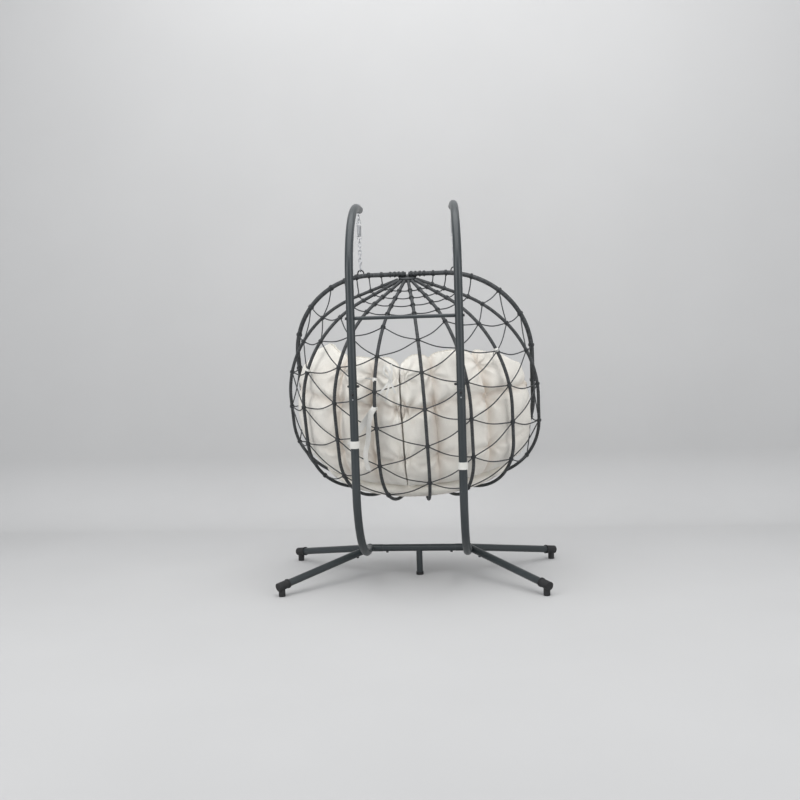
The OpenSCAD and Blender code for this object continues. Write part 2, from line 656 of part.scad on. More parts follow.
// Cushions
function wall_r(a, z) =
    let (p = rib_points(a), r = rib_radii(a), z1 = p[1][1] - cut_at(p, r, 1), z2 = p[2][1] + cut_at(p, r, 2))
    z > z1 ? p[1][0] - r[0] + sqrt(max(0, r[0] * r[0] - (z - z1) * (z - z1)))
    : z < z2 ? p[1][0] - r[1] + sqrt(max(0, r[1] * r[1] - (z2 - z) * (z2 - z)))
    : p[1][0];
net_allowance = 25;
net_lean_in = 22;
lean_start = -60;
lean_span = 340;
function cushion_limit(a, z) = wall_r(a, z) - net_allowance - net_lean_in * max(0, z - lean_start) / lean_span;
function signed_pow(x, n) = sign(x) * pow(abs(x), n);

seat_rise = 38;
seat_bottom = bottom_hub_z + rib_r + seat_rise;
seat_top = seat_bottom + seat_thickness;
seat_corner = 9;
halvings = 12;
seat_inset = 6;
seat_front = rim_r + seat_inset;
seat_centre_y = 0.4 * basket_half_width * basket_depth_share;
seat_ring = 40;
SEAT_LEVELS = [[0, 0.9], [0.12, 0.97], [0.5, 1], [0.86, 0.975], [1, 0.92]];
SEAT_TOPS = [[0.15, 0.8], [0.6, 0.55], [0.9, 0.28]];
// Distance from the seat's centre to its edge, in direction t at height z
function seat_reach(t, z) =
    let (d = [sin(t), cos(t)], out = seat_wall_reach(d, z, 0, basket_half_width, halvings),
        front = (seat_centre_y - seat_front) / max(-d[1], 0.1))
    soft_min(out, front);
function soft_min(a, b) = pow(pow(a, -seat_corner) + pow(b, -seat_corner), -1 / seat_corner);
function seat_inside(d, z, s) = let (x = d[0] * s, y = d[1] * s + seat_centre_y, a = atan2(x, y / basket_depth_share))
    y < 0 ? true : norm([x, y]) < cushion_limit(a, z);
function seat_wall_reach(d, z, low, high, n) = n == 0 ? low
    : let (mid = (low + high) / 2) seat_inside(d, z, mid) ? seat_wall_reach(d, z, mid, high, n - 1)
    : seat_wall_reach(d, z, low, mid, n - 1);
function seat_point(k, z, f, lift_z) = let (t = k * 360 / seat_ring, s = seat_reach(t, z) * f)
    [sin(t) * s, seat_centre_y + cos(t) * s, z + lift_z];
seat_points = concat(
    [for (l = SEAT_LEVELS, k = [0 : seat_ring - 1])
        seat_point(k, seat_bottom + seat_thickness * l[0], l[1], 0)],
    [for (l = SEAT_TOPS, k = [0 : seat_ring - 1])
        seat_point(k, seat_top, l[1], seat_crown * l[0])],
    [[0, seat_centre_y, seat_bottom], [0, seat_centre_y, seat_top + seat_crown]]);
seat_rows = len(SEAT_LEVELS) + len(SEAT_TOPS);
function fan_faces(first, n, tip, flip) = [for (k = [0 : n - 1])
    flip ? [first + k, tip, first + (k + 1) % n] : [first + k, first + (k + 1) % n, tip]];
function band_faces(rows, n) = [for (i = [0 : rows - 2], k = [0 : n - 1])
    let (a = i * n + k, b = i * n + (k + 1) % n) each [[a, b, b + n], [a, b + n, a + n]]];

module seat_cushion() color("ivory") in_basket() polyhedron(seat_points,
    concat(band_faces(seat_rows, seat_ring), fan_faces(0, seat_ring, seat_rows * seat_ring, true),
        fan_faces((seat_rows - 1) * seat_ring, seat_ring, seat_rows * seat_ring + 1, false)));

back_seat_share = 0.45;
back_bottom = seat_top + seat_crown * back_seat_share;
back_top = back_bottom + back_height;
back_stations = 22;
back_loop = 22;
back_inner_angle = 0.5;
back_outer_angle = 74;
back_edge = 0.5;
back_lobes = 2;
back_fullness = 0.55;
back_dip = 26;
back_slope = 34;
back_taper = 0.25;
back_pull = 0.3;
back_round = 0.6;
tuft_rise = 0.45;
tuft_width = 0.07;
tuft_height = 55;
function lobe(u) = pow(abs(sin(180 * back_lobes * u)), back_fullness);
function tuft(u, z) = let (du = (u * back_lobes - floor(min(u, 0.999) * back_lobes) - 0.5) / back_lobes / tuft_width,
    dz = (z - back_bottom - back_height * tuft_rise) / tuft_height) tuft_depth * exp(-du * du - dz * dz);
function back_point(u, k, side) =
    let (a = back_inner_angle + (back_outer_angle - back_inner_angle) * u, t = 360 * k / back_loop,
        full = back_edge + (1 - back_edge) * lobe(u),
        top = back_top - back_dip * (1 - lobe(u)) - back_slope * u * u,
        z = (back_bottom + top) / 2 + (top - back_bottom) / 2 * signed_pow(sin(t), back_fullness),
        thick = back_thickness * full * (1 - back_taper * (z - back_bottom) / back_height),
        outer = cushion_limit(a, z) - back_thickness * (1 - full) * back_pull,
        r = outer - thick / 2 + (thick / 2) * signed_pow(cos(t), back_round) - tuft(u, z) / 2 * cos(t),
        h = rib_heading(a))
    [side * h[0] * r, h[1] * r, z];
function back_points(side) = concat(
    [for (i = [0 : back_stations], k = [0 : back_loop - 1]) back_point(i / back_stations, k, side)],
    [back_end(0, side), back_end(1, side)]);
function back_end(u, side) = let (p = [for (k = [0 : back_loop - 1]) back_point(u, k, side)])
    [for (c = [0 : 2]) (p[0][c] + p[floor(back_loop / 2)][c]) / 2];
function turned(faces, flip) = [for (f = faces) flip ? [f[0], f[2], f[1]] : f];

module back_cushion(side) color("ivory") in_basket() {
    n = back_loop;
    rows = back_stations + 1;
    faces = concat(band_faces(rows, n), fan_faces(0, n, rows * n, true), fan_faces((rows - 1) * n, n, rows * n + 1, false));
    polyhedron(back_points(side), turned(faces, side > 0));
}

// White straps that steady the basket: a band round each post
strap_band_z = [770, 656];
strap_width = 36;
strap_thickness = 3;
module strap_bands() color("white") for (n = [0, 1]) {
    z = strap_band_z[n];
    pipe([side_x(SIDES[n]), post_setback, z - strap_width / 2], [side_x(SIDES[n]), post_setback, z + strap_width / 2],
        post_r + clearance + strap_thickness, strap_thickness);
}

base_crossbar();
centre_stub_leg();
centre_stub_cap();
base_connector(1);  // base_connector_left
base_connector(-1);  // base_connector_right
leg(1, front_foot(1));  // front_leg_left
leg(-1, front_foot(-1));  // front_leg_right
leg(1, rear_foot(1));  // rear_leg_left
leg(-1, rear_foot(-1));  // rear_leg_right
foot_cap(1, front_foot(1));  // foot_cap_front_left
foot_cap(-1, front_foot(-1));  // foot_cap_front_right
foot_cap(1, rear_foot(1));  // foot_cap_rear_left
foot_cap(-1, rear_foot(-1));  // foot_cap_rear_right
leg_bolts();
lower_post(1);  // lower_post_left
lower_post(-1);  // lower_post_right
upper_post(1);  // upper_arm_left
upper_post(-1);  // upper_arm_right
post_sleeves();
post_joint_bolts();
mid_crossbar();
mid_bar_bolts();
arm_end_plugs();
eye_bolts();
strap_bands();
spring_upper_hooks();
spring(1);  // spring_left
spring(-1);  // spring_right
spring_lower_hooks();
chain(1);  // chain_left
chain(-1);  // chain_right
snap_hook(1);  // snap_hook_left
snap_hook(-1);  // snap_hook_right
snap_gate(1);  // snap_gate_left
snap_gate(-1);  // snap_gate_right
rim_half(1);  // rim_left
rim_half(-1);  // rim_right
rim_loops();
hub(top_hub_z);  // top_hub
hub(bottom_hub_z);  // bottom_hub
rib(0);  // rib_1
rib(1);  // rib_2
rib(2);  // rib_3
rib(3);  // rib_4
rib(4);  // rib_5
rib(5);  // rib_6
rib(6);  // rib_7
rib(7);  // rib_8
net_panel(0);  // net_panel_1
net_panel(1);  // net_panel_2
net_panel(2);  // net_panel_3
net_panel(3);  // net_panel_4
net_panel(4);  // net_panel_5
net_panel(5);  // net_panel_6
net_panel(6);  // net_panel_7
net_panel(7);  // net_panel_8
net_panel(8);  // net_panel_9
net_lashings();
seat_cushion();
for (side = SIDES) back_cushion(side);  // back_cushions
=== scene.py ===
import json
import math
import random
import bpy
import bmesh
from mathutils import Matrix, Vector, noise


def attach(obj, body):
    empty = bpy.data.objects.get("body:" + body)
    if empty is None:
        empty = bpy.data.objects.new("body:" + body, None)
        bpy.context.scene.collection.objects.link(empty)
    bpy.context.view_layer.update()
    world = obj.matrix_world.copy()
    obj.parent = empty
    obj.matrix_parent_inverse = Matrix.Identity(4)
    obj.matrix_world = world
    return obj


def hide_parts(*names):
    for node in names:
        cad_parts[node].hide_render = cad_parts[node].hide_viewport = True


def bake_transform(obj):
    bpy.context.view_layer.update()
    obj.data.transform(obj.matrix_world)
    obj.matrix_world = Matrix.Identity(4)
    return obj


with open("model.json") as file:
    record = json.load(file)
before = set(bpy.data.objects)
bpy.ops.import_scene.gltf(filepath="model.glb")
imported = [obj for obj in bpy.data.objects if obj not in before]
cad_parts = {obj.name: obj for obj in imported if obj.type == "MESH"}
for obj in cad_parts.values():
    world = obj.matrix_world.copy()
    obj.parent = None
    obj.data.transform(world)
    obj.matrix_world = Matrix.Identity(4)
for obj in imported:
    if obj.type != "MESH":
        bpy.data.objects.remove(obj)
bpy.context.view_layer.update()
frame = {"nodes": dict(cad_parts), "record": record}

RNG = random.Random(7)

# ---------------------------------------------------------------- sizes, in metres and radians
TAU = 2 * math.pi

# How the basket hangs by its two loops, and where the hangers hang from
BASKET_LEAN = math.radians(17.3)
BASKET_TURN = math.radians(3)
HANG_X = 0.02102
HANG_Z = 1.62782
LOOP_DROP = 0.003898
HOOK_REACH = 0.251087
EYE_Z = 1.934
HANG_TILT = math.radians(2.43362)

# Rim, ribs and hubs, in the basket's own frame
RIM_TOP = 0.5925
RIM_BOTTOM = -0.5705
RIM_HALF_WIDTH = 0.647
RIM_BENDS = (0.455, 0.446)
RIM_FLOOR_SLOPE = math.radians(2.8)
RIM_START = 0.007
RIM_R = 0.012
RIM_SIDES = 18
RIB_R = 0.0085
RIB_SIDES = 14
RIB_START = 0.0509
RIB_TOP = 0.5662
RIB_BOTTOM = -0.5948
BASKET_HALF_WIDTH = 0.697
DEPTH_SHARE = 0.86
ROOF_SLOPE = math.radians(17.8)
FLOOR_SLOPE = math.radians(5.5)
RIB_BENDS = (0.585, 0.37)
RIB_ANGLES = [math.radians(a) for a in (77, 52.1, 30.2, 10.5, -10.5, -30.2, -52.1, -77)]
HUB_R = 0.048
HUB_HOLE_R = 0.012
HUB_HALF = 0.012
HUB_CORD_R = 0.003
HUB_TURNS = 6
HUB_TOP_Z = 0.5682
HUB_BOTTOM_Z = -0.5948

# Strip wound round rim and ribs: (share of the pitch, share of the lift) across one turn
WRAP_PITCH = 0.0085
WRAP_SHAPE = ((0.0, 0.0), (0.1, 0.8), (0.5, 1.0), (0.9, 0.8))
WRAP_LIFT = 0.0009
WRAP_SINK = 0.0004

# Net: lengths along a tube where its cords and lashings sit, and how far the cords droop
CORD_R = 0.00325
LASH_R = 0.002
LASH_GAP = 0.0006
LASH_TURNS = 3.2
ROOF_ROWS = [0.140 + 0.068 * k for k in range(4)]
WALL_CORDS = 10
WALL_START = 0.430
WALL_STEP = 0.155
WALL_GROWTH = 0.008
TOP_LASHINGS = (0.022, 0.045, 0.068, 0.091)
TOP_LASH_TURNS = 2.4
ROOF_SAG = 0.06
WALL_SAG = 0.072

# Springs
COIL_TOP = 1.9043
COIL_BOTTOM = 1.8255
COIL_LEAD = 0.010
COIL_END = 0.004
SPRING_R = 0.010
SPRING_WIRE_R = 0.002
SPRING_CURLS = 12
SPRING_PITCH = 0.0049

# Cushions; their gap to the ribs' wall grows towards the top
CUSHION_GAP = 0.025
CUSHION_TOP_GAP = 0.022
CUSHION_LEAN_Z = -0.06
CUSHION_LEAN_RISE = 0.34
SEAT_BOTTOM = -0.5483
SEAT_TOP = -0.4333
SEAT_CROWN = 0.024
SEAT_Y = 0.2398
SEAT_FRONT = 0.018
BACK_BOTTOM = -0.4225
BACK_TOP = 0.2775
BACK_THICK = 0.125
BACK_R = 0.55
BACK_RUN = 0.7
BACK_END_R = 0.045
END_SEAM_RUN = 0.62
PIPING_R = 0.0035

# Back cushions, against degrees round the basket: both ends, the valleys between lobes, the top edge
BACK_FROM, BACK_TO = 0.12, 74.0
VALLEYS = {1: (15.0, 33.0), -1: (16.0, 43.0)}
MIDDLE_TUFTS = 2.0
TOPS = {
    1: ((0, 0.262), (9, 0.276), (24, 0.268), (40, 0.268), (56, 0.287), (66, 0.25), (74, 0.17)),
    -1: ((0, 0.268), (8, 0.284), (28, 0.284), (45, 0.262), (58, 0.225), (74, 0.15)),
}
SEAM_Z = 0.03
FOLD_Z = -0.235
# Rows of tufts: height, depth of the dent, height of the creases round it
TUFTS = ((SEAM_Z, 0.017, 0.011), (FOLD_Z, 0.007, 0.006), (0.2, 0.008, 0.007))
TUFT_REACH = 0.22

# Ties: tube, height, and (sideways, upwards) reach of each loose end
TAPE_THICK = 0.0016
TIE_WIDTH = 0.008
TIES = (
    (2, 0.185, ((0.02, -0.05), (-0.01, -0.085))),
    (4, 0.205, ((0.06, 0.004),)),
    (7, 0.262, ((0.012, -0.02),)),
)

# Bow between the two back cushions
BOW_DEGREES, BOW_Z = 3.2, 0.205
BOW_WIDTH = 0.010
BOW_LOOPS = ((-0.028, 0.075), (0.012, 0.085))
BOW_ENDS = ((-0.075, -0.085), (-0.035, -0.11), (0.02, -0.07))

# Left strap: (degrees round the basket, height, lift off the net) along its tight run and its loose end
STRAP_OFF = 0.014
STRAP_THICK = 0.002
STRAP_RUN_WIDTH = 0.030
STRAP_RUN = (
    (10.2, 0.07, 0.0), (12.5, 0.03, 0.002), (16.0, -0.03, 0.004),
    (19.5, -0.09, 0.003), (23.5, -0.155, 0.0),
)
STRAP_END_WIDTH = 0.026
STRAP_END = (
    (10.8, 0.065, 0.004), (12.5, 0.0, 0.009), (14.0, -0.11, 0.005),
    (15.6, -0.195, 0.008), (15.0, -0.285, 0.004),
)
STRAP_TUBE, STRAP_KNOT_Z = 4, 0.062

# Studio and the photograph's camera
FLOOR_HALF = 14.0
BACKDROP_Y = -1.2
BACKDROP_BEND = 0.45
BACKDROP_HEIGHT = 6.0
LIGHTS = (
    ("soft_top", (0.0, 1.0, 4.6), (0, 0, 0.8), (5.0, 5.0), 170),
    ("soft_left", (4.2, 4.0, 2.6), (0, 0, 1.0), (3.0, 3.0), 90),
    ("soft_right", (-4.2, 3.5, 2.4), (0, 0, 1.0), (3.0, 3.0), 70),
)
WORLD_COLOUR = (0.9, 0.92, 0.95, 1)
WORLD_STRENGTH = 0.6
CAMERA_PLACE = (-0.491, 5.614, 1.393)
CAMERA_LENS = 47.25
SENSOR_WIDTH = 36
PITCH, YAW, ROLL = math.radians(4.44), math.radians(5.81), math.radians(1.77)


# ---------------------------------------------------------------- paths
class Path:
    """A line in an upright plane through the basket's axis, with rounded corners."""

    def __init__(self, heading, points, bends, start):
        self.heading = Vector((heading[0], heading[1], 0)).normalized()
        self.start = start
        self.pieces = []
        points = [Vector(p) for p in points]
        corners = [(b - a, c - b) for a, b, c in zip(points, points[1:], points[2:])]
        turns = [0.0, *(u.normalized().cross(v.normalized()) for u, v in corners), 0.0]
        angles = [0.0, *(u.angle(v) for u, v in corners), 0.0]
        bends = [0.0, *bends, 0.0]
        cuts = [r * math.tan(a / 2) for r, a in zip(bends, angles)]
        for i, (a, b) in enumerate(zip(points, points[1:])):
            u = (b - a).normalized()
            self.pieces.append((a + u * cuts[i], u, 0.0, (b - a).length - cuts[i] - cuts[i + 1]))
            if angles[i + 1]:
                bend = math.copysign(bends[i + 1], turns[i + 1])
                self.pieces.append((b - u * cuts[i + 1], u, bend, bends[i + 1] * angles[i + 1]))
        self.length = sum(p[3] for p in self.pieces)

    def flat(self, s):
        for piece in self.pieces:
            if s <= piece[3] or piece is self.pieces[-1]:
                break
            s -= piece[3]
        start, u, bend, _ = piece
        if not bend:
            return start + u * s, u
        a = s / bend
        n = Vector((-u[1], u[0]))
        point = start + n * bend * (1 - math.cos(a)) + u * bend * math.sin(a)
        return point, u * math.cos(a) + n * math.sin(a)

    def at(self, s):
        """Point, heading, outward normal and side normal, in the basket's own frame."""
        p, u = self.flat(s)
        up = Vector((0, 0, 1))
        side = self.heading.cross(up)
        along = self.heading * u[0] + up * u[1]
        return self.heading * p[0] + up * p[1], along, along.cross(side), side


def rib_wide(angle):
    return Vector((math.sin(angle), DEPTH_SHARE * math.cos(angle)))


def rib_corners(scale):
    reach = BASKET_HALF_WIDTH * scale
    run = reach - RIB_START
    return [
        (RIB_START, RIB_TOP),
        (reach, RIB_TOP - run * math.tan(ROOF_SLOPE)),
        (reach, RIB_BOTTOM + run * math.tan(FLOOR_SLOPE)),
        (RIB_START, RIB_BOTTOM),
    ]


def rib_path(angle):
    wide = rib_wide(angle)
    return Path(wide, rib_corners(wide.length), [b * wide.length for b in RIB_BENDS], RIB_START)


def rim_path(side):
    points = [
        (RIM_START, RIM_TOP),
        (RIM_HALF_WIDTH, RIM_TOP),
        (RIM_HALF_WIDTH, RIM_BOTTOM + RIM_HALF_WIDTH * math.tan(RIM_FLOOR_SLOPE)),
        (RIM_START, RIM_BOTTOM),
    ]
    return Path((side, 0), points, RIM_BENDS, RIM_START)


BASKET = (
    Matrix.Translation((HANG_X, LOOP_DROP * math.sin(BASKET_LEAN), HANG_Z))
    @ Matrix.Rotation(-BASKET_TURN, 4, "Z")
    @ Matrix.Rotation(-BASKET_LEAN, 4, "X")
    @ Matrix.Translation((0, 0, -RIM_TOP))
)
LINES = [rim_path(1)] + [rib_path(a) for a in RIB_ANGLES] + [rim_path(-1)]


def line_r(i):
    return RIM_R if i in (0, len(LINES) - 1) else RIB_R


def on_line(i, s):
    return LINES[i].at(s - LINES[i].start)


def hanger(side):
    return (
        Matrix.Translation((HANG_X + side * HOOK_REACH, 0, EYE_Z))
        @ Matrix.Rotation(-side * HANG_TILT, 4, "X")
        @ Matrix.Translation((0, 0, -EYE_Z))
    )


# ---------------------------------------------------------------- materials
class Mat:
    """A Principled material whose colour, roughness and bump come from nodes."""

    def __init__(self, name, rough, metallic=0.0, sheen=0.0, specular=0.5):
        self.mat = bpy.data.materials.new(name)
        self.mat.use_nodes = True
        self.tree = self.mat.node_tree
        self.bsdf = self.tree.nodes["Principled BSDF"]
        self.bsdf.inputs["Roughness"].default_value = rough
        self.bsdf.inputs["Metallic"].default_value = metallic
        self.bsdf.inputs["Specular IOR Level"].default_value = specular
        self.bsdf.inputs["Sheen Weight"].default_value = sheen
        self.normal = None
        self.coords = self.tree.nodes.new("ShaderNodeTexCoord")

    def node(self, kind, inputs=None, **settings):
        n = self.tree.nodes.new("ShaderNode" + kind)
        for key, value in settings.items():
            setattr(n, key, value)
        for key, value in (inputs or {}).items():
            if isinstance(value, bpy.types.NodeSocket):
                self.tree.links.new(value, n.inputs[key])
            else:
                n.inputs[key].default_value = value
        return n

    def place(self, source, scale):
        return self.node("Mapping", {"Vector": self.coords.outputs[source], "Scale": scale}).outputs[0]

    def noise(self, scale, detail=3.0, rough=0.5, source="Object", stretch=(1, 1, 1)):
        v = self.place(source, stretch)
        inputs = {"Vector": v, "Scale": scale, "Detail": detail, "Roughness": rough}
        return self.node("TexNoise", inputs).outputs["Fac"]

    def ramp(self, value, low, high, start=0.3, end=0.7):
        n = self.node("ValToRGB", {"Fac": value})
        n.color_ramp.elements[0].position, n.color_ramp.elements[1].position = start, end
        n.color_ramp.elements[0].color = (*low, 1)
        n.color_ramp.elements[1].color = (*high, 1)
        return n.outputs["Color"]

    def mix(self, a, b, factor, blend="MIX"):
        n = self.node("Mix", data_type="RGBA", blend_type=blend)
        for socket, value in ((n.inputs[0], factor), (n.inputs[6], a), (n.inputs[7], b)):
            if isinstance(value, bpy.types.NodeSocket):
                self.tree.links.new(value, socket)
            else:
                socket.default_value = value if isinstance(value, float) else (*value, 1)
        return n.outputs[2]

    def colour(self, value):
        self.tree.links.new(value, self.bsdf.inputs["Base Color"])

    def roughness(self, value, low, high):
        n = self.node("MapRange", {"Value": value, "To Min": low, "To Max": high})
        self.tree.links.new(n.outputs[0], self.bsdf.inputs["Roughness"])

    def bump(self, height, strength, distance):
        values = {"Height": height, "Strength": strength, "Distance": distance}
        if self.normal:
            values["Normal"] = self.normal
        self.normal = self.node("Bump", values).outputs[0]
        self.tree.links.new(self.normal, self.bsdf.inputs["Normal"])


def powder_coat():
    m = Mat("powder_coat", 0.4)
    patches = m.noise(5.0, 4.0)
    grain = m.noise(700.0, 2.0)
    base = m.ramp(patches, (0.026, 0.033, 0.036), (0.036, 0.044, 0.048))
    m.colour(m.mix(base, m.ramp(grain, (0.8, 0.8, 0.8), (1.1, 1.1, 1.1)), 0.6, "MULTIPLY"))
    m.roughness(m.noise(40.0, 4.0), 0.26, 0.38)
    m.bump(grain, 0.35, 0.00012)
    return m.mat


def plain(name, low, high, rough, metallic=0.0, scale=60.0, grain=900.0, depth=0.0002):
    m = Mat(name, rough, metallic)
    m.colour(m.ramp(m.noise(scale, 5.0), low, high))
    m.roughness(m.noise(scale * 3, 3.0), rough - 0.07, rough + 0.09)
    m.bump(m.noise(grain, 3.0), 0.4, depth)
    return m.mat


def strip_material(name, low, high, rough, along=6.0, across=900.0):
    """Extruded plastic strip or cord: fine streaks along it, and a tone of its own for each turn."""
    m = Mat(name, rough, specular=0.45)
    streaks = m.noise(1.0, 3.0, source="UV", stretch=(across, along, 1))
    tone = m.node("Attribute", attribute_name="tone").outputs["Fac"]
    base = m.mix(low, high, tone)
    m.colour(m.mix(base, m.ramp(streaks, (0.7, 0.7, 0.7), (1.25, 1.25, 1.25)), 0.7, "MULTIPLY"))
    m.roughness(streaks, rough - 0.08, rough + 0.1)
    m.bump(streaks, 0.5, 0.0002)
    m.bump(m.noise(260.0, 3.0), 0.25, 0.0003)
    return m.mat


def weave(m, pitch, strength, depth):
    """Plain weave from crossed waves in the object's own space."""
    sides = []
    for direction in ("X", "Y", "Z"):
        inputs = {
            "Vector": m.coords.outputs["Object"],
            "Scale": 0.5 / pitch,
            "Distortion": 0.6,
            "Detail": 1.0,
            "Detail Scale": 2.0,
        }
        sides.append(m.node("TexWave", inputs, bands_direction=direction).outputs["Fac"])
    total = m.node("Math", {0: sides[0], 1: sides[1]}, operation="ADD").outputs[0]
    total = m.node("Math", {0: total, 1: sides[2]}, operation="ADD").outputs[0]
    m.bump(total, strength, depth)
    return total


def cushion_material():
    m = Mat("cushion_linen", 0.86, sheen=0.25, specular=0.25)
    m.bsdf.inputs["Sheen Roughness"].default_value = 0.6
    threads = weave(m, 0.0016, 0.35, 0.0003)
    broad = m.ramp(m.noise(4.0, 4.0), (0.80, 0.765, 0.70), (0.86, 0.835, 0.775))
    slub = m.ramp(m.noise(420.0, 2.0, stretch=(1, 0.12, 1)), (0.9, 0.9, 0.89), (1.04, 1.04, 1.04))
    # Painted shade: the tone of the mesh darkens and warms the linen in its folds, dents and seams, where
    # shade falls
    shade = m.node("Attribute", attribute_name="tone").outputs["Fac"]
    crease_shade = m.node("Math", {0: shade, 1: 0.55}, operation="MULTIPLY").outputs[0]
    shaded_linen = m.mix(broad, (0.66, 0.55, 0.46), crease_shade)
    tint = m.mix(shaded_linen, slub, 0.7, "MULTIPLY")
    thread_tone = m.ramp(threads, (0.93, 0.92, 0.9), (1.02, 1.02, 1.02), 0.6, 2.2)
    m.colour(m.mix(tint, thread_tone, 0.5, "MULTIPLY"))
    m.bump(m.noise(55.0, 5.0, 0.6), 0.35, 0.0022)
    m.bump(m.noise(14.0, 3.0), 0.2, 0.005)
    return m.mat


def strap_material(name, low, high):
    """Woven tape: ribs along it and a fine lay across it."""
    m = Mat(name, 0.8, sheen=0.2, specular=0.3)
    uv = m.place("UV", (1, 1, 1))
    ribs, lay = (
        m.node("TexWave", {"Vector": uv, "Scale": scale, "Distortion": distortion}, bands_direction=axis)
        for axis, scale, distortion in (("X", 9.0, 0.3), ("Y", 160.0, 0.4))
    )
    base = m.ramp(m.noise(20.0, 4.0), low, high)
    tone = m.ramp(ribs.outputs["Fac"], (0.86, 0.86, 0.85), (1, 1, 1))
    m.colour(m.mix(base, tone, 0.6, "MULTIPLY"))
    m.bump(ribs.outputs["Fac"], 0.5, 0.0004)
    m.bump(lay.outputs["Fac"], 0.4, 0.0003)
    return m.mat


POWDER = powder_coat()
RUBBER = plain(
    "rubber", (0.008, 0.008, 0.009), (0.018, 0.018, 0.019), 0.62, scale=30.0, grain=350.0, depth=0.0004
)
BLACK_STEEL = plain("black_steel", (0.012, 0.012, 0.013), (0.024, 0.024, 0.026), 0.38)
BLACK_PLASTIC = plain("black_plastic", (0.014, 0.014, 0.015), (0.024, 0.024, 0.026), 0.45)
ZINC = plain("zinc", (0.42, 0.43, 0.45), (0.62, 0.63, 0.64), 0.32, metallic=0.9, scale=90.0, depth=0.0001)
RATTAN = strip_material("rattan_strip", (0.028, 0.031, 0.033), (0.055, 0.059, 0.062), 0.52)
CORD = strip_material("net_cord", (0.028, 0.031, 0.033), (0.05, 0.054, 0.057), 0.5, along=40.0, across=60.0)
LINEN = cushion_material()
PIPING = strap_material("piping", (0.70, 0.66, 0.58), (0.78, 0.75, 0.68))
WEBBING = strap_material("white_webbing", (0.7, 0.69, 0.65), (0.8, 0.79, 0.76))
SLOT_LOOKS = {
    "powder_coat": POWDER, "rubber": RUBBER, "black_steel": BLACK_STEEL, "black_plastic": BLACK_PLASTIC,
    "zinc": ZINC, "rattan": RATTAN, "net_cord": CORD, "cushion": LINEN, "strap": WEBBING,
}
for part in frame["record"]["subparts"]:
    mesh = frame["nodes"][part["node"]].data
    mesh.materials.clear()
    mesh.materials.append(SLOT_LOOKS[part["material_slot"]])


# ---------------------------------------------------------------- mesh making
def piece(name, verts, faces, material, body, slot, nodes=(), uvs=None, tones=None, matrix=None):
    mesh = bpy.data.meshes.new(name)
    mesh.from_pydata(verts, [], faces)
    if uvs:
        layer = mesh.uv_layers.new(name="UVMap")
        for loop in mesh.loops:
            layer.data[loop.index].uv = uvs[loop.vertex_index]
    if tones:
        mesh.attributes.new("tone", "FLOAT", "POINT").data.foreach_set("value", tones)
    if matrix is not None:
        mesh.transform(matrix)
    mesh.materials.append(material)
    mesh.polygons.foreach_set("use_smooth", [True] * len(mesh.polygons))
    mesh.update()
    obj = bpy.data.objects.new(name, mesh)
    bpy.context.scene.collection.objects.link(obj)
    if nodes:
        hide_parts(*nodes)
    if body:
        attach(obj, body)
    return obj


def polar(r, a, z):
    return Vector((r * math.cos(a), r * math.sin(a), z))


def face_outwards(obj, weld=False):
    """Turns the faces outwards; weld first joins the seam of a wound tube and closes its ends."""
    bm = bmesh.new()
    bm.from_mesh(obj.data)
    if weld:
        bmesh.ops.remove_doubles(bm, verts=bm.verts, dist=2e-5)
        bmesh.ops.dissolve_degenerate(bm, edges=bm.edges, dist=1e-5)
        bmesh.ops.holes_fill(bm, edges=[e for e in bm.edges if e.is_boundary], sides=0)
    bmesh.ops.recalc_face_normals(bm, faces=bm.faces)
    bm.to_mesh(obj.data)
    bm.free()
    obj.data.polygons.foreach_set("use_smooth", [True] * len(obj.data.polygons))


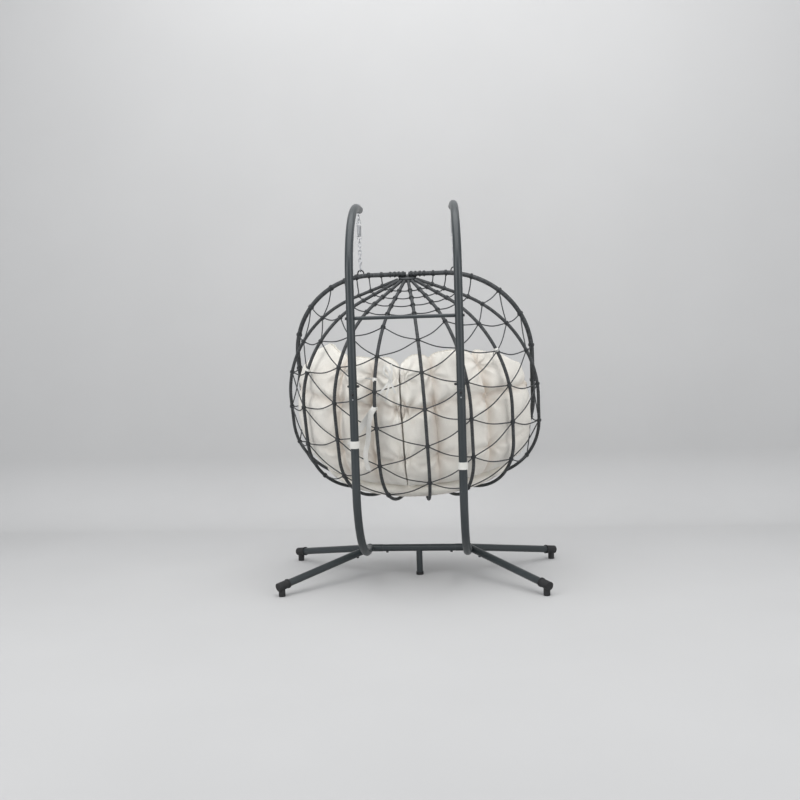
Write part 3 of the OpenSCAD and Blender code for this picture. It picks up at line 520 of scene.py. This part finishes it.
class Build:
    """Gathers several swept tubes into one mesh."""

    def __init__(self):
        self.verts, self.faces, self.uvs, self.tones = [], [], [], []

    def ring_grid(self, rings, uvs, tones, closed=False):
        """Joins equal rings of points into a tube, with flat ends if it isn't closed into a loop."""
        first, n, m = len(self.verts), len(rings[0]), len(rings)
        for ring, uv, tone in zip(rings, uvs, tones):
            self.verts += ring
            self.uvs += uv
            self.tones += [tone] * n
        for i in range(m if closed else m - 1):
            a, b = first + i * n, first + (i + 1) % m * n
            for k in range(n):
                after = (k + 1) % n
                self.faces.append((a + k, a + after, b + after, b + k))
        if not closed:
            self.faces.append(tuple(first + k for k in reversed(range(n))))
            self.faces.append(tuple(first + (m - 1) * n + k for k in range(n)))

    def sweep(self, points, radius, sides=8, closed=False, tone=0.5):
        """A round tube along points."""
        points = [Vector(p) for p in points]
        n = len(points)
        tangents = []
        for i in range(n):
            a = points[(i - 1) % n] if closed or i else points[0]
            b = points[(i + 1) % n] if closed or i < n - 1 else points[-1]
            tangents.append((b - a).normalized())
        side = tangents[0].orthogonal().normalized()
        rings, uvs, run = [], [], 0.0
        for i, (p, t) in enumerate(zip(points, tangents)):
            if i:
                run += (p - points[i - 1]).length
            side = (side - t * side.dot(t)).normalized()
            other = t.cross(side)
            ring = []
            for k in range(sides):
                a = TAU * k / sides
                ring.append(p + side * (radius * math.cos(a)) + other * (radius * math.sin(a)))
            rings.append(ring)
            uvs.append([(k / sides, run * 100) for k in range(sides)])
        self.ring_grid(rings, uvs, [tone] * n, closed)

    def ribbon(self, points, normals, width, thick):
        """A flat strap with rounded edges; normals are its face directions."""
        points = [Vector(p) for p in points]
        outline = []
        for x, y in ((-1, -0.55), (-0.94, -1), (-0.5, -1), (0, -1), (0.5, -1), (0.94, -1), (1, -0.55),
                     (1, 0.55), (0.94, 1), (0.5, 1), (0, 1), (-0.5, 1), (-0.94, 1), (-1, 0.55)):
            outline.append((x * width / 2, y * thick / 2))
        rings, uvs, run = [], [], 0.0
        for i, p in enumerate(points):
            if i:
                run += (p - points[i - 1]).length
            t = (points[min(i + 1, len(points) - 1)] - points[max(i - 1, 0)]).normalized()
            n = Vector(normals[i])
            n = (n - t * n.dot(t)).normalized()
            b = t.cross(n)
            rings.append([p + b * x + n * y for x, y in outline])
            uvs.append([(x / width + 0.5, run / width) for x, y in outline])
        self.ring_grid(rings, uvs, [0.5] * len(points))

    def piece(self, name, material, body, slot, nodes=(), matrix=None):
        return piece(name, self.verts, self.faces, material, body, slot, nodes, self.uvs, self.tones, matrix)


def spline(points, steps):
    """Catmull-Rom curve through points, with so many steps a span."""
    p = [Vector(q) for q in points]
    p = [p[0] * 2 - p[1]] + p + [p[-1] * 2 - p[-2]]
    out = []
    for a, b, c, d in zip(p, p[1:], p[2:], p[3:]):
        for k in range(steps):
            t = k / steps
            out.append(0.5 * (
                2 * b
                + (c - a) * t
                + (2 * a - 5 * b + 4 * c - d) * t**2
                + (3 * b - a - 3 * c + d) * t**3
            ))
    return out + [p[-2]]


# ---------------------------------------------------------------- wrapped rim and ribs
def wrapped(name, i, node, sides):
    """A tube wound with flat strip: the grid of points is sheared, so the grooves run along the strip."""
    line, r = LINES[i], line_r(i)
    across = len(WRAP_SHAPE)
    turns = math.ceil(line.length / WRAP_PITCH) + 1
    rows = across * turns
    verts, uvs, tones, faces = [], [], [], []
    for j in range(rows + 1):
        turn, (share, lift) = j // across, WRAP_SHAPE[j % across]
        tone = RNG.random() if j % across == 0 else tone
        for k in range(sides):
            s = (turn - 1 + share + k / sides) * WRAP_PITCH
            held = min(max(s, 0.0), line.length)
            p, _, out, side = line.at(held)
            # Past an end of the tube the strip is held at the end, half lifted, which closes it
            rise = WRAP_LIFT * (0.5 if held != s else lift * (0.8 + 0.25 * tone)) - WRAP_SINK
            a = TAU * k / sides
            verts.append(p + (out * math.cos(a) + side * math.sin(a)) * (r + rise))
            uvs.append((share, s * 100 + k / sides))
            tones.append(tone)
    for j in range(rows):
        for k in range(sides):
            a, b = (j, k), (j + 1, k)
            # Round the tube the grid meets itself one turn further on
            last = k == sides - 1
            c, d = ((j + 1 + across, 0), (j + across, 0)) if last else ((j + 1, k + 1), (j, k + 1))
            if c[0] <= rows:
                faces.append(tuple(q[0] * sides + q[1] for q in (a, d, c, b)))
    obj = piece(name, verts, faces, RATTAN, None, "rattan", [node], uvs, tones, BASKET)
    face_outwards(obj, weld=True)
    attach(obj, "basket")


wrapped("rim_wrap_left", 0, "rim_left", RIM_SIDES)
wrapped("rim_wrap_right", len(LINES) - 1, "rim_right", RIM_SIDES)
for n in range(1, len(RIB_ANGLES) + 1):
    wrapped(f"rib_wrap_{n}", n, f"rib_{n}", RIB_SIDES)


# ---------------------------------------------------------------- hubs, wound from one cord
def hub(name, z, node):
    """Cord wound out over the lower face, up the wall in three turns, and in over the upper face."""
    steps, wall_turns, core_sides = 40, 3, 32
    rim, level = HUB_R - HUB_CORD_R, HUB_HALF - HUB_CORD_R

    def winding(i):
        """The radius after so many steps in from the edge."""
        return rim - i / steps * (HUB_R - HUB_HOLE_R) / HUB_TURNS

    path = [polar(winding(i), TAU * i / steps, z - level) for i in range(HUB_TURNS * steps, -1, -1)]
    for i in range(1, wall_turns * steps + 1):
        height = z - level + i / (wall_turns * steps) * 2 * level
        path.append(polar(rim, -TAU * i / steps, height))
    for i in range(1, HUB_TURNS * steps + 1):
        path.append(polar(winding(i), TAU * (-wall_turns - i / steps), z + level))
    build = Build()
    build.sweep(path, HUB_CORD_R, 7)
    core, middle = HUB_R - 1.2 * HUB_CORD_R, 0.002
    rings = [
        [polar(r, TAU * k / core_sides, z + h * level) for k in range(core_sides)]
        for r, h in ((middle, -1), (core, -1), (core, 1), (middle, 1))
    ]
    build.ring_grid(rings, [[(k / core_sides, 0) for k in range(core_sides)]] * 4, [0.2] * 4)
    build.piece(name, CORD, "basket", "rattan", [node], BASKET)


hub("hub_cord_top", HUB_TOP_Z, "top_hub")
hub("hub_cord_bottom", HUB_BOTTOM_Z, "bottom_hub")


# ---------------------------------------------------------------- net
def wall_row(row):
    """Length along a tube of a row on the wall; the rows spread out downwards."""
    return WALL_START + WALL_STEP * row + WALL_GROWTH * row * row


def row_on(i, m):
    """The row where cord m of the zigzag meets tube i."""
    return m / 2 if (i + m) % 2 == 0 else (m + 1) / 2


def net_cord(build, i, sa, j, sb, sag):
    """A cord that droops from one tube to the next and leaves each one with a slight S."""
    a, b = on_line(i, sa)[0], on_line(j, sb)[0]
    u = (b - a).normalized()
    down = Vector((0, 0, -1))
    down = (down - u * down.dot(u)).normalized()
    span = (b - a).length
    sag *= 0.85 + 0.3 * RNG.random()
    lean = (RNG.random() - 0.5) * 0.02
    out = (a + b).normalized()
    ra, rb = line_r(i) * 0.9 / span, line_r(j) * 0.9 / span
    points = []
    steps = max(10, int(span / 0.009))
    for k in range(steps + 1):
        t = ra + (1 - ra - rb) * k / steps
        arc = 4 * t * (1 - t)
        wave = (1 - math.cos(TAU * t)) / 2
        drop = sag * span * (0.55 * arc + 0.45 * wave)
        points.append(a + (b - a) * t + down * drop + out * (lean * span * wave))
    build.sweep(points, CORD_R, 8, tone=RNG.random())


def lashing(build, i, s, turns=LASH_TURNS):
    """A few tight turns of cord round a tube, with both ends sunk into it."""
    r = line_r(i) + LASH_GAP + LASH_R
    steps = int(turns * 16)
    pitch = LASH_R * 1.95
    begin = RNG.random()
    points = []
    for k in range(steps + 1):
        q = k / steps
        p, _, out, side = on_line(i, s + (q - 0.5) * turns * pitch)
        a = TAU * (begin + q * turns)
        sink = LASH_R * 1.1 if k in (0, steps) else 0.0
        points.append(p + (out * math.cos(a) + side * math.sin(a)) * (r - sink))
    build.sweep(points, LASH_R, 7, tone=RNG.random())


for i in range(len(LINES) - 1):
    build = Build()
    for s in ROOF_ROWS:
        net_cord(build, i, s, i + 1, s, ROOF_SAG)
    for m in range(WALL_CORDS):
        net_cord(build, i, wall_row(row_on(i, m)), i + 1, wall_row(row_on(i + 1, m)), WALL_SAG)
    build.piece(f"net_cords_{i + 1}", CORD, "basket", "net_cord", [f"net_panel_{i + 1}"], BASKET)

build = Build()
for i in range(len(LINES)):
    for s in ROOF_ROWS:
        lashing(build, i, s)
    for m in range(i % 2, WALL_CORDS + 1, 2):
        lashing(build, i, wall_row(m / 2))
for i in (0, len(LINES) - 1):
    for s in TOP_LASHINGS:
        lashing(build, i, s, TOP_LASH_TURNS)
build.piece("net_lashing_cords", CORD, "basket", "net_cord", ["net_lashings"], BASKET)


# ---------------------------------------------------------------- springs
def spring(side, node):
    steps = 20
    curl_steps = SPRING_CURLS * steps
    height = SPRING_CURLS * SPRING_PITCH
    points = [(SPRING_R, 0, COIL_TOP), (SPRING_R, 0, COIL_TOP - COIL_END)]
    for k in range(curl_steps + 1):
        points.append(polar(SPRING_R, TAU * k / steps, COIL_TOP - COIL_LEAD - height * k / curl_steps))
    points += [(SPRING_R, 0, COIL_BOTTOM + COIL_END), (SPRING_R, 0, COIL_BOTTOM)]
    build = Build()
    build.sweep(points, SPRING_WIRE_R, 8)
    place = hanger(side)
    obj = build.piece(f"coil_{node}", ZINC, None, "zinc", [node], place)
    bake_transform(obj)


spring(1, "spring_left")
spring(-1, "spring_right")


# ---------------------------------------------------------------- cushions
def wall_r(a, z):
    """Radius of the ribs' wall at an angle and height in the basket."""
    scale = rib_wide(a).length
    corners = rib_corners(scale)
    shoulder, heel = (b * scale for b in RIB_BENDS)
    reach = corners[1][0]
    z1 = corners[1][1] - shoulder * math.tan((math.pi / 2 - ROOF_SLOPE) / 2)
    z2 = corners[2][1] + heel * math.tan((math.pi / 2 - FLOOR_SLOPE) / 2)
    if z > z1:
        return reach - shoulder + math.sqrt(max(0.0, shoulder**2 - (z - z1) ** 2))
    if z < z2:
        return reach - heel + math.sqrt(max(0.0, heel**2 - (z2 - z) ** 2))
    return reach


def cushion_limit(a, z):
    """How far out from the basket's axis a cushion may reach."""
    share = max(0.0, z - CUSHION_LEAN_Z) / CUSHION_LEAN_RISE
    return wall_r(a, z) - CUSHION_GAP - CUSHION_TOP_GAP * share


def signed_pow(x, n):
    return math.copysign(abs(x) ** n, x)


def shell(name, rows, nodes):
    """A closed cushion from rings of (point, shade), capped to a point at each end."""
    n = len(rows[0])
    verts = [p for row in rows for p, _ in row]
    shades = [shade for row in rows for _, shade in row] + [0.3, 0.3]
    faces = []
    for i in range(len(rows) - 1):
        for k in range(n):
            after = (k + 1) % n
            faces.append((i * n + k, i * n + after, (i + 1) * n + after, (i + 1) * n + k))
    for first, flip in ((0, True), ((len(rows) - 1) * n, False)):
        centre = sum((verts[first + k] for k in range(n)), Vector()) / n
        tip = len(verts)
        verts.append(centre)
        for k in range(n):
            after = (k + 1) % n
            faces.append((first + after, first + k, tip) if flip else (first + k, first + after, tip))
    obj = piece(name, verts, faces, LINEN, None, "cushion", nodes, tones=shades, matrix=BASKET)
    face_outwards(obj)
    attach(obj, "basket")


def ruck(p, scale, seed):
    """Smooth noise, between about -1 and 1."""
    return noise.noise(Vector(p) * scale + Vector((seed, seed * 0.7, -seed)))


def pinch(d, width):
    """1 at a seam, falling off to both sides of it."""
    return math.exp(-((abs(d) / width) ** 1.15))


def seat_reach(t, z):
    """How far the seat cushion reaches from its middle: to the net, and to its straight front edge."""
    d = (math.sin(t), math.cos(t))
    low, high = 0.0, BASKET_HALF_WIDTH
    for _ in range(14):
        middle = (low + high) / 2
        x, y = d[0] * middle, d[1] * middle + SEAT_Y
        inside = y < 0 or math.hypot(x, y) < cushion_limit(math.atan2(x, y / DEPTH_SHARE), z)
        low, high = (middle, high) if inside else (low, middle)
    front = (SEAT_Y - SEAT_FRONT) / max(-d[1], 0.1)
    return (low**-9 + front**-9) ** (-1 / 9)


def seat_cushion():
    around, layers = 150, 60
    middle, half = (SEAT_TOP + SEAT_BOTTOM) / 2, (SEAT_TOP - SEAT_BOTTOM) / 2
    rows = []
    for j in range(1, layers):
        v = -1 + 2 * j / layers
        phi = v * math.pi / 2
        full = min(1.0, math.cos(phi) ** 0.42)
        z = middle + half * signed_pow(math.sin(phi), 0.62)
        crown = SEAT_CROWN * (1 - full**2.2) if v > 0 else 0.0
        row = []
        for k in range(around):
            t = TAU * k / around
            s = seat_reach(t, max(z, SEAT_BOTTOM + 0.01)) * full * 0.985
            p = Vector((math.sin(t) * s, SEAT_Y + math.cos(t) * s, z + crown))
            pucker = 0.0035 * math.exp(-abs(v) * 9) * math.sin(t * 46 + 3 * ruck(p, 9, 3))
            soft = 0.006 * ruck(p, 7, 1) + 0.003 * ruck(p, 19, 2)
            p.z += (soft if v > 0 else 0) * min(1, 3 * (1 - full) + 0.2)
            p.x += math.sin(t) * (pucker + 0.5 * soft * full)
            p.y += math.cos(t) * (pucker + 0.5 * soft * full)
            # Painted shade: the linen darkens in a band along the seam round the seat's middle
            row.append((p, 0.35 * pinch(v, 0.04)))
        rows.append(row)
    shell("seat_cushion_linen", rows, ["seat_cushion"])


def eased(x, stops):
    """A smooth line through (place, value) stops."""
    for (x0, v0), (x1, v1) in zip(stops, stops[1:]):
        if x <= x1:
            t = max(0.0, (x - x0) / (x1 - x0))
            return v0 + (v1 - v0) * t * t * (3 - 2 * t)
    return stops[-1][1]


def back_point(side, u, t):
    """A point of a back cushion and its shade, from the share along it and the angle round its section."""
    degrees = BACK_FROM + (BACK_TO - BACK_FROM) * u
    a = math.radians(degrees)
    ends = pinch(u * END_SEAM_RUN, 0.03) + pinch((1 - u) * END_SEAM_RUN, 0.035)
    valley = max(pinch(math.radians(degrees - v) * BACK_R, 0.024) for v in VALLEYS[side])
    top = eased(degrees, TOPS[side]) - 0.022 * valley - 0.014 * ends
    rounding = math.sqrt(1 - (1 - min(1.0, min(u, 1 - u) * BACK_RUN / BACK_END_R)) ** 2)
    middle = (BACK_BOTTOM + top) / 2
    half = (top - BACK_BOTTOM) / 2 * (0.965 + 0.035 * rounding)
    z = middle + half * signed_pow(math.sin(t), 0.6)
    c = signed_pow(math.cos(t), 0.5)
    full = (1 - 0.25 * min(1.0, ends)) * (0.2 + 0.8 * rounding)
    thick = BACK_THICK * full * (1 - 0.22 * (z - BACK_BOTTOM) / (BACK_TOP - BACK_BOTTOM))

    # Valleys, two sewn lines, and the tufts with creases that fan out from them
    seam = pinch(z - SEAM_Z - 0.02 * math.sin(a * 3), 0.022)
    fold = pinch(z - FOLD_Z, 0.016)
    dent = 0.035 * valley + 0.029 * seam + 0.009 * fold - 0.018 * valley * seam
    crease = 0.0
    for n, v in enumerate((*VALLEYS[side], MIDDLE_TUFTS)):
        for m, (height, dent_depth, crease_rise) in enumerate(TUFTS):
            dx, dz = math.radians(degrees - v) * BACK_R, z - height
            rho = math.hypot(dx, dz)
            if rho > TUFT_REACH:
                continue
            dent += dent_depth * math.exp(-((rho / 0.026) ** 1.3))
            wander = ruck((dx * 5, dz * 5, n + m), 1.4, n + side)
            fan = math.cos(math.atan2(dz, dx) * (5 + n + m) + n * 1.9 + side + 3.2 * wander)
            crease += crease_rise * fan * math.exp(-(((rho - 0.045) / 0.055) ** 2))

    # Slack cloth: broad swells, upright pleats, and puckers along the piping
    q = (side * math.sin(a) * 0.6, math.cos(a) * 0.5, z)
    flow = ruck((q[0] * 3.2, q[1] * 3.2, z * 0.9), 3.0, 21 + side)
    pleating = 0.4 + 0.6 * seam + 0.5 * pinch(z - BACK_BOTTOM, 0.08)
    pleats = 0.0024 * math.sin(degrees + 5 * flow) * pleating
    soft = 0.011 * ruck(q, 5, 11 + side) + 0.006 * ruck(q, 12, 12) + 0.0035 * ruck(q, 27, 13) + pleats
    edge = math.exp(-abs(math.cos(t)) * 7)
    pucker = 0.0028 * edge * math.sin(u * 210 + 4 * ruck((u * 8, t, side), 1, 8))

    outer = cushion_limit(a, z) - 0.002
    relief = (crease + soft) * abs(c) - dent * abs(c) ** 1.5
    r = outer - thick / 2 + thick / 2 * c
    r += relief * (1 if c > 0 else -1) + pucker - (0.006 if c > 0 else 0)
    r = min(r, outer + 0.006)
    wide = rib_wide(a)
    # Painted shade for the linen: dents, valleys and seams darker, raised creases lighter
    shade = min(1.0, max(0.0, (dent - crease * abs(c)) / 0.045))
    return Vector((side * wide[0] / wide.length * r, wide[1] / wide.length * r, z + pucker * 0.7)), shade


def back_cushion(side):
    around, stations, piping_stations, end_steps = 168, 250, 150, 20
    name = "left" if side > 0 else "right"
    rows = [
        [back_point(side, i / stations, TAU * k / around) for k in range(around)]
        for i in range(1, stations)
    ]
    shell(f"back_cushion_{name}", rows, ["back_cushions"])

    # Piping along the seam round the cushion's middle
    shares = [k / piping_stations for k in range(1, piping_stations)]
    top = [back_point(side, u, math.pi / 2)[0] for u in shares]
    low = [back_point(side, u, -math.pi / 2)[0] for u in reversed(shares)]
    loop = []
    for first, last in ((top, low), (low, top)):
        loop += first
        a, b = first[-1], last[0]
        loop += [a + (b - a) * k / end_steps for k in range(1, end_steps)]
    build = Build()
    build.sweep(loop, PIPING_R, 8, closed=True)
    build.piece(f"back_piping_{name}", PIPING, "basket", "cushion", matrix=BASKET)


seat_cushion()
back_cushion(1)
back_cushion(-1)


# ---------------------------------------------------------------- ties, bow and straps
def net_point(degrees, z, off):
    """A point so far outside the ribs' wall, at an angle round the basket."""
    a = math.radians(degrees)
    wide = rib_wide(abs(a))
    r = wall_r(abs(a), z) + off
    return Vector((math.copysign(wide[0] / wide.length * r, a), wide[1] / wide.length * r, z))


def net_normal(p):
    return Vector((p.x, p.y / DEPTH_SHARE**2, 0)).normalized()


def rib_length_at(i, z):
    """Length along a tube where its wall reaches a height."""
    low, high = 0.3, 1.3
    for _ in range(24):
        middle = (low + high) / 2
        low, high = (middle, high) if on_line(i, middle)[0].z > z else (low, middle)
    return low


def tail(build, points, width, thick=TAPE_THICK):
    """A length of tape that lies flat to the net."""
    line = spline(points, 8)
    build.ribbon(line, [net_normal(p) for p in line], width, thick)


def tie(build, i, z, tails):
    """A white tape wound round a tube, with its loose ends."""
    s = rib_length_at(i, z)
    r = line_r(i) + WRAP_LIFT + 0.0012
    steps, turns, rise = 48, 2.5, 0.0012
    points, normals = [], []
    for k in range(steps + 1):
        q = k / steps
        p, _, out, side = on_line(i, s + (q - 0.5) * 2 * TIE_WIDTH)
        a = TAU * q * turns
        away = out * math.cos(a) + side * math.sin(a)
        points.append(p + away * (r + rise * q))
        normals.append(away)
    build.ribbon(points, normals, TIE_WIDTH, TAPE_THICK)
    p, _, out, side = on_line(i, s)
    start = p + out * (r + 0.004)
    for dx, dz in tails:
        middle = start + side * dx * 0.4 + out * 0.006 + Vector((0, 0, dz * 0.35))
        tail(build, [start, middle, start + side * dx + Vector((0, 0, dz)) + out * 0.002], TIE_WIDTH)


def bow(build):
    """A knot with two loops above it and three loose ends below."""
    centre = net_point(BOW_DEGREES, BOW_Z, 0.006)
    n = net_normal(centre)
    across = Vector((0, 0, 1)).cross(n)
    knot = []
    for j in range(12):
        a = TAU * j / 12
        knot.append(centre + across * 0.007 * math.cos(a) + Vector((0, 0, 0.008 * math.sin(a))) + n * 0.004)
    build.sweep(knot, 0.0045, 8, closed=True)
    for dx, dz in BOW_LOOPS:
        up = Vector((0, 0, dz))
        loop = [
            centre,
            centre + across * dx + up * 0.6 + n * 0.01,
            centre + across * dx * 0.7 + up + n * 0.004,
            centre + across * (dx * 0.3 + 0.008) + up * 0.5 + n * 0.012,
            centre + n * 0.006,
        ]
        tail(build, loop, BOW_WIDTH)
    for dx, dz in BOW_ENDS:
        middle = centre + across * dx * 0.4 + Vector((0, 0, dz * 0.4)) + n * 0.008
        tail(build, [centre, middle, centre + across * dx + Vector((0, 0, dz)) + n * 0.002], BOW_WIDTH)


def left_strap():
    """Tied to a rib, it runs towards the band on the left post, and its loose end hangs down the net."""
    build = Build()
    for stops, width in ((STRAP_RUN, STRAP_RUN_WIDTH), (STRAP_END, STRAP_END_WIDTH)):
        tail(build, [net_point(d, z, STRAP_OFF + lift) for d, z, lift in stops], width, STRAP_THICK)
    knot = rib_length_at(STRAP_TUBE, STRAP_KNOT_Z)
    _, _, out, side = on_line(STRAP_TUBE, knot)
    steps, turn_steps, knot_height, knot_r = 40, 16, 0.02, 0.0125
    turns = []
    for q in range(steps + 1):
        p = on_line(STRAP_TUBE, knot + knot_height * (q / steps - 0.5))[0]
        a = TAU * q / turn_steps
        turns.append(p + (out * math.cos(a) + side * math.sin(a)) * knot_r)
    build.sweep(turns, 0.003, 8)
    build.piece("left_strap", WEBBING, "basket", "strap", matrix=BASKET)


build = Build()
for i, z, tails in TIES:
    tie(build, i, z, tails)
bow(build)
build.piece("net_ties", WEBBING, "basket", "strap", matrix=BASKET)
left_strap()


# ---------------------------------------------------------------- stage, light and camera
def stage():
    """A pale floor that curves up into a backdrop behind the object."""
    outline = [(FLOOR_HALF, 0.0), (BACKDROP_Y, 0.0)]
    steps = 12
    for k in range(1, steps + 1):
        a = math.pi / 2 * k / steps
        y = BACKDROP_Y - BACKDROP_BEND * math.sin(a)
        outline.append((y, BACKDROP_BEND * (1 - math.cos(a))))
    outline.append((BACKDROP_Y - BACKDROP_BEND, BACKDROP_HEIGHT))
    verts, faces = [], []
    for y, z in outline:
        verts += [(-FLOOR_HALF, y, z), (FLOOR_HALF, y, z)]
    # Faces look towards the photograph's camera
    for k in range(len(outline) - 1):
        faces.append((2 * k, 2 * k + 2, 2 * k + 3, 2 * k + 1))
    mesh = bpy.data.meshes.new("studio_floor")
    mesh.from_pydata(verts, [], faces)
    mesh.polygons.foreach_set("use_smooth", [True] * len(mesh.polygons))
    obj = bpy.data.objects.new("studio_floor", mesh)
    bpy.context.scene.collection.objects.link(obj)
    m = Mat("studio_paper", 0.9)
    m.colour(m.ramp(m.noise(1.2, 3.0), (0.50, 0.50, 0.50), (0.515, 0.515, 0.515)))
    # Seen from behind, the backdrop lets the view through
    clear = m.node("BsdfTransparent")
    behind = m.node("NewGeometry").outputs["Backfacing"]
    both = m.node("MixShader", {0: behind, 1: m.bsdf.outputs[0], 2: clear.outputs[0]})
    m.tree.links.new(both.outputs[0], m.tree.nodes["Material Output"].inputs["Surface"])
    mesh.materials.append(m.mat)


def area_light(name, place, target, size, power):
    data = bpy.data.lights.new(name, "AREA")
    data.shape = "RECTANGLE"
    data.size, data.size_y = size
    data.energy = power
    obj = bpy.data.objects.new(name, data)
    bpy.context.scene.collection.objects.link(obj)
    obj.location = place
    obj.rotation_euler = (Vector(target) - Vector(place)).to_track_quat("-Z", "Y").to_euler()


stage()
for light in LIGHTS:
    area_light(*light)
world = bpy.data.worlds.new("studio_world")
world.use_nodes = True
world.node_tree.nodes["Background"].inputs["Color"].default_value = WORLD_COLOUR
world.node_tree.nodes["Background"].inputs["Strength"].default_value = WORLD_STRENGTH
bpy.context.scene.world = world
bpy.context.scene.view_settings.view_transform = "Standard"

camera = bpy.data.cameras.new("photo_camera")
camera.lens = CAMERA_LENS
camera.sensor_width = SENSOR_WIDTH
camera_object = bpy.data.objects.new("photo_camera", camera)
bpy.context.scene.collection.objects.link(camera_object)
look = Vector((math.sin(YAW) * math.cos(PITCH), -math.cos(YAW) * math.cos(PITCH), -math.sin(PITCH)))
camera_object.matrix_world = (
    Matrix.Translation(CAMERA_PLACE)
    @ look.to_track_quat("-Z", "Y").to_matrix().to_4x4()
    @ Matrix.Rotation(-ROLL, 4, "Z")
)
bpy.context.scene.camera = camera_object
